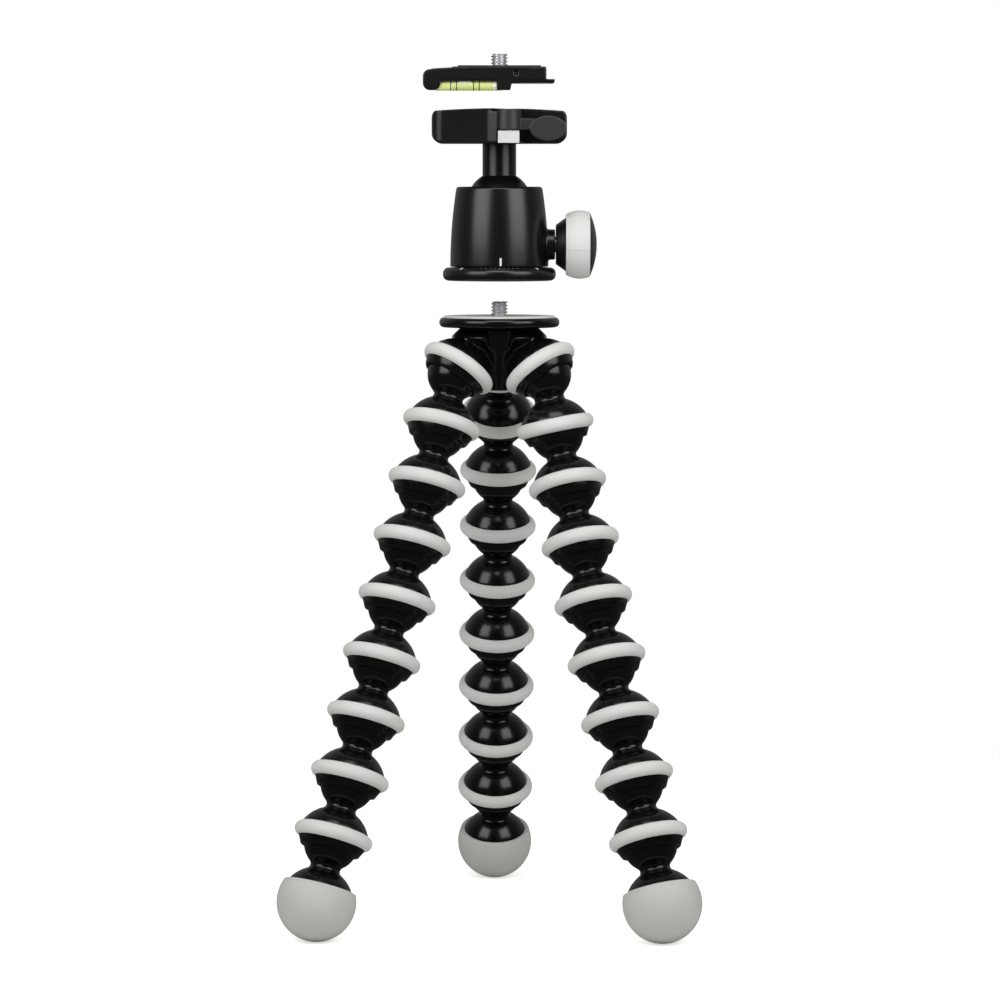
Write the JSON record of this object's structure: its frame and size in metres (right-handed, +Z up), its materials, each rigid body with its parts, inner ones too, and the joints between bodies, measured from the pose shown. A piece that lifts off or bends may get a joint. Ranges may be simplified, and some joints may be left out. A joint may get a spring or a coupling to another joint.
{
  "type": "flexible leg tripod",
  "caption": "Flexible tripod on bendable legs of ball-jointed links with soft grip rings and round feet, with a lift-off ball head, locking knob, quick-release clamp and plate.",
  "frame": {"origin": "on the floor under the tripod's axis", "axes": "+Z up along the tripod's axis, +X to the side of the locking knob, -Y towards the viewer"},
  "size_m": [0.1573, 0.1932, 0.329],
  "materials": {
    "leg_black": "moulded gloss black",
    "grip_grey": "matt pale grey soft rubber",
    "foot_grey": "matt grey soft rubber",
    "head_black": "satin black coated alloy",
    "clamp_black": "satin black moulded",
    "steel": "turned bright steel",
    "brass": "turned brass",
    "level_fluid": "clear tube of yellow-green fluid"
  },
  "bodies": {
    "tripod": {"hub_body": "leg_black", "hub_rings": "grip_grey", "top_disc": "leg_black", "disc_pad": "grip_grey", "tripod_stud": "steel"},
    "head_base": {"pan_base": "head_black", "base_insert": "brass", "pan_retainer": "steel"},
    "head": {"housing": "head_black", "ball_seat": "brass"},
    "brake": {"brake_nose": "steel"},
    "knob": {"knob_core": "leg_black", "knob_grip": "grip_grey", "knob_cap": "leg_black", "knob_screw": "steel"},
    "clamp": {"ball_stem": "head_black", "clamp_body": "clamp_black", "clamp_screw": "steel", "lever_pin": "steel"},
    "jaw": {"clamp_jaw": "steel"},
    "lever": {"clamp_lever": "head_black"},
    "plate": {"plate_body": "clamp_black", "plate_pad": "grip_grey", "level_vial": "level_fluid"},
    "screw": {"camera_screw": "steel"},
    "rear_1": {"rear_link_1": "leg_black"},
    "rear_2": {"rear_link_2": "leg_black"},
    "rear_3": {"rear_link_3": "leg_black"},
    "rear_4": {"rear_link_4": "leg_black"},
    "rear_5": {"rear_link_5": "leg_black"},
    "rear_6": {"rear_link_6": "leg_black"},
    "rear_7": {"rear_link_7": "leg_black"},
    "rear_8": {"rear_link_8": "leg_black"},
    "rear_foot": {"rear_foot_ball": "leg_black", "rear_foot_pad": "foot_grey"},
    "left_1": {"left_link_1": "leg_black"},
    "left_2": {"left_link_2": "leg_black"},
    "left_3": {"left_link_3": "leg_black"},
    "left_4": {"left_link_4": "leg_black"},
    "left_5": {"left_link_5": "leg_black"},
    "left_6": {"left_link_6": "leg_black"},
    "left_7": {"left_link_7": "leg_black"},
    "left_8": {"left_link_8": "leg_black"},
    "left_foot": {"left_foot_ball": "leg_black", "left_foot_pad": "foot_grey"},
    "right_1": {"right_link_1": "leg_black"},
    "right_2": {"right_link_2": "leg_black"},
    "right_3": {"right_link_3": "leg_black"},
    "right_4": {"right_link_4": "leg_black"},
    "right_5": {"right_link_5": "leg_black"},
    "right_6": {"right_link_6": "leg_black"},
    "right_7": {"right_link_7": "leg_black"},
    "right_8": {"right_link_8": "leg_black"},
    "right_foot": {"right_foot_ball": "leg_black", "right_foot_pad": "foot_grey"}
  },
  "joints": [
    {"name": "head_seat", "type": "slide", "parent": "tripod", "child": "head_base", "axis": [0, 0, 1], "range_m": [-0.0131, 0]},
    {"name": "head_pan", "type": "hinge", "parent": "head_base", "child": "head", "pos_m": [0, 0, 0.24301], "axis": [0, 0, 1], "continuous": true},
    {"name": "ball_tilt", "type": "hinge", "parent": "head", "child": "clamp", "pos_m": [0, 0, 0.27221], "axis": [-1, 0, 0], "range_deg": [-26, 90]},
    {"name": "knob_turn", "type": "hinge", "parent": "head", "child": "knob", "pos_m": [0.0212, 0, 0.25671], "axis": [1, 0, 0], "range_deg": [0, 360]},
    {"name": "brake_slide", "type": "slide", "parent": "head", "child": "brake", "axis": [1, 0, 0], "range_m": [0, 0.00125]},
    {"name": "lever_swing", "type": "hinge", "parent": "clamp", "child": "lever", "pos_m": [0.0035, -0.0184, 0.29511], "axis": [0, 0, 1], "range_deg": [-45, 0]},
    {"name": "jaw_slide", "type": "slide", "parent": "clamp", "child": "jaw", "axis": [0, 1, 0], "range_m": [-0.0014, 0]},
    {"name": "plate_seat", "type": "slide", "parent": "clamp", "child": "plate", "axis": [0, 0, 1], "range_m": [-0.0123, 0]},
    {"name": "camera_screw_turn", "type": "hinge", "parent": "plate", "child": "screw", "pos_m": [0, 0, 0.32361], "axis": [0, 0, 1], "continuous": true},
    {"name": "rear_joint_1", "type": "hinge", "parent": "tripod", "child": "rear_1", "pos_m": [0, 0.0197, 0.20771], "axis": [0.9997, 0.0262, 0], "range_deg": [-28, 34]},
    {"name": "rear_joint_2", "type": "hinge", "parent": "rear_1", "child": "rear_2", "pos_m": [-0.00032, 0.03177, 0.18802], "axis": [-0.0253, 0.966, 0.2572], "range_deg": [-30, 30]},
    {"name": "rear_joint_3", "type": "hinge", "parent": "rear_2", "child": "rear_3", "pos_m": [-0.00047, 0.03771, 0.16569], "axis": [-0.9997, -0.0262, 0], "range_deg": [-35, 35]},
    {"name": "rear_joint_4", "type": "hinge", "parent": "rear_3", "child": "rear_4", "pos_m": [-0.00064, 0.04423, 0.14353], "axis": [0.0249, -0.9512, -0.3075], "range_deg": [-35, 35]},
    {"name": "rear_joint_5", "type": "hinge", "parent": "rear_4", "child": "rear_5", "pos_m": [-0.00083, 0.05133, 0.12155], "axis": [0.9997, 0.0262, 0], "range_deg": [-35, 35]},
    {"name": "rear_joint_6", "type": "hinge", "parent": "rear_5", "child": "rear_6", "pos_m": [-0.00103, 0.059, 0.09977], "axis": [-0.0245, 0.9338, 0.3568], "range_deg": [-35, 35]},
    {"name": "rear_joint_7", "type": "hinge", "parent": "rear_6", "child": "rear_7", "pos_m": [-0.00124, 0.06724, 0.07819], "axis": [-0.9997, -0.0262, 0], "range_deg": [-35, 35]},
    {"name": "rear_joint_8", "type": "hinge", "parent": "rear_7", "child": "rear_8", "pos_m": [-0.00148, 0.07604, 0.05683], "axis": [0.0239, -0.9139, -0.4052], "range_deg": [-35, 35]},
    {"name": "rear_foot_joint", "type": "hinge", "parent": "rear_8", "child": "rear_foot", "pos_m": [-0.00172, 0.0854, 0.03571], "axis": [0.9997, 0.0262, 0], "range_deg": [-33, 33]},
    {"name": "left_joint_1", "type": "hinge", "parent": "tripod", "child": "left_1", "pos_m": [-0.01706, -0.00985, 0.20771], "axis": [-0.7431, 0.6691, 0], "range_deg": [-18, 45]},
    {"name": "left_joint_2", "type": "hinge", "parent": "left_1", "child": "left_2", "pos_m": [-0.0226, -0.016, 0.18615], "axis": [-0.6267, -0.6961, 0.3503], "range_deg": [-35, 35]},
    {"name": "left_joint_3", "type": "hinge", "parent": "left_2", "child": "left_3", "pos_m": [-0.02801, -0.02201, 0.16451], "axis": [0.7431, -0.6691, 0], "range_deg": [-35, 35]},
    {"name": "left_joint_4", "type": "hinge", "parent": "left_3", "child": "left_4", "pos_m": [-0.03351, -0.02812, 0.14292], "axis": [0.624, 0.693, -0.3611], "range_deg": [-35, 35]},
    {"name": "left_joint_5", "type": "hinge", "parent": "left_4", "child": "left_5", "pos_m": [-0.03909, -0.03432, 0.12138], "axis": [-0.7431, 0.6691, 0], "range_deg": [-35, 35]},
    {"name": "left_joint_6", "type": "hinge", "parent": "left_5", "child": "left_6", "pos_m": [-0.04476, -0.04061, 0.09989], "axis": [-0.6211, -0.6898, 0.372], "range_deg": [-35, 35]},
    {"name": "left_joint_7", "type": "hinge", "parent": "left_6", "child": "left_7", "pos_m": [-0.05051, -0.047, 0.07845], "axis": [0.7431, -0.6691, 0], "range_deg": [-35, 35]},
    {"name": "left_joint_8", "type": "hinge", "parent": "left_7", "child": "left_8", "pos_m": [-0.05634, -0.05348, 0.05705], "axis": [0.6182, 0.6866, -0.3827], "range_deg": [-35, 35]},
    {"name": "left_foot_joint", "type": "hinge", "parent": "left_8", "child": "left_foot", "pos_m": [-0.06226, -0.06005, 0.03571], "axis": [-0.7431, 0.6691, 0], "range_deg": [-33, 33]},
    {"name": "right_joint_1", "type": "hinge", "parent": "tripod", "child": "right_1", "pos_m": [0.01706, -0.00985, 0.20771], "axis": [-0.4462, -0.8949, 0], "range_deg": [-10, 45]},
    {"name": "right_joint_2", "type": "hinge", "parent": "right_1", "child": "right_2", "pos_m": [0.02171, -0.01217, 0.1852], "axis": [0.5139, -0.7764, 0.3648], "range_deg": [-27, 30]},
    {"name": "right_joint_3", "type": "hinge", "parent": "right_2", "child": "right_3", "pos_m": [0.02636, -0.0192, 0.1637], "axis": [0.8339, 0.5519, 0], "range_deg": [-35, 35]},
    {"name": "right_joint_4", "type": "hinge", "parent": "right_3", "child": "right_4", "pos_m": [0.03108, -0.02633, 0.14224], "axis": [-0.5115, 0.7728, -0.3756], "range_deg": [-35, 35]},
    {"name": "right_joint_5", "type": "hinge", "parent": "right_4", "child": "right_5", "pos_m": [0.03587, -0.03356, 0.12083], "axis": [-0.8339, -0.5519, 0], "range_deg": [-35, 35]},
    {"name": "right_joint_6", "type": "hinge", "parent": "right_5", "child": "right_6", "pos_m": [0.04073, -0.0409, 0.09947], "axis": [0.5091, -0.7691, 0.3864], "range_deg": [-35, 35]},
    {"name": "right_joint_7", "type": "hinge", "parent": "right_6", "child": "right_7", "pos_m": [0.04566, -0.04835, 0.07817], "axis": [0.8339, 0.5519, 0], "range_deg": [-35, 35]},
    {"name": "right_joint_8", "type": "hinge", "parent": "right_7", "child": "right_8", "pos_m": [0.05065, -0.05589, 0.05691], "axis": [-0.5066, 0.7653, -0.3971], "range_deg": [-35, 35]},
    {"name": "right_foot_joint", "type": "hinge", "parent": "right_8", "child": "right_foot", "pos_m": [0.05571, -0.06354, 0.03571], "axis": [-0.8339, -0.5519, 0], "range_deg": [-33, 33]}
  ],
  "couplings": [
    {"joint": "brake_slide", "follows": "knob_turn", "m_per_rad": 0.00019892},
    {"joint": "jaw_slide", "follows": "lever_swing", "m_per_rad": 0.0017824}
  ]
}
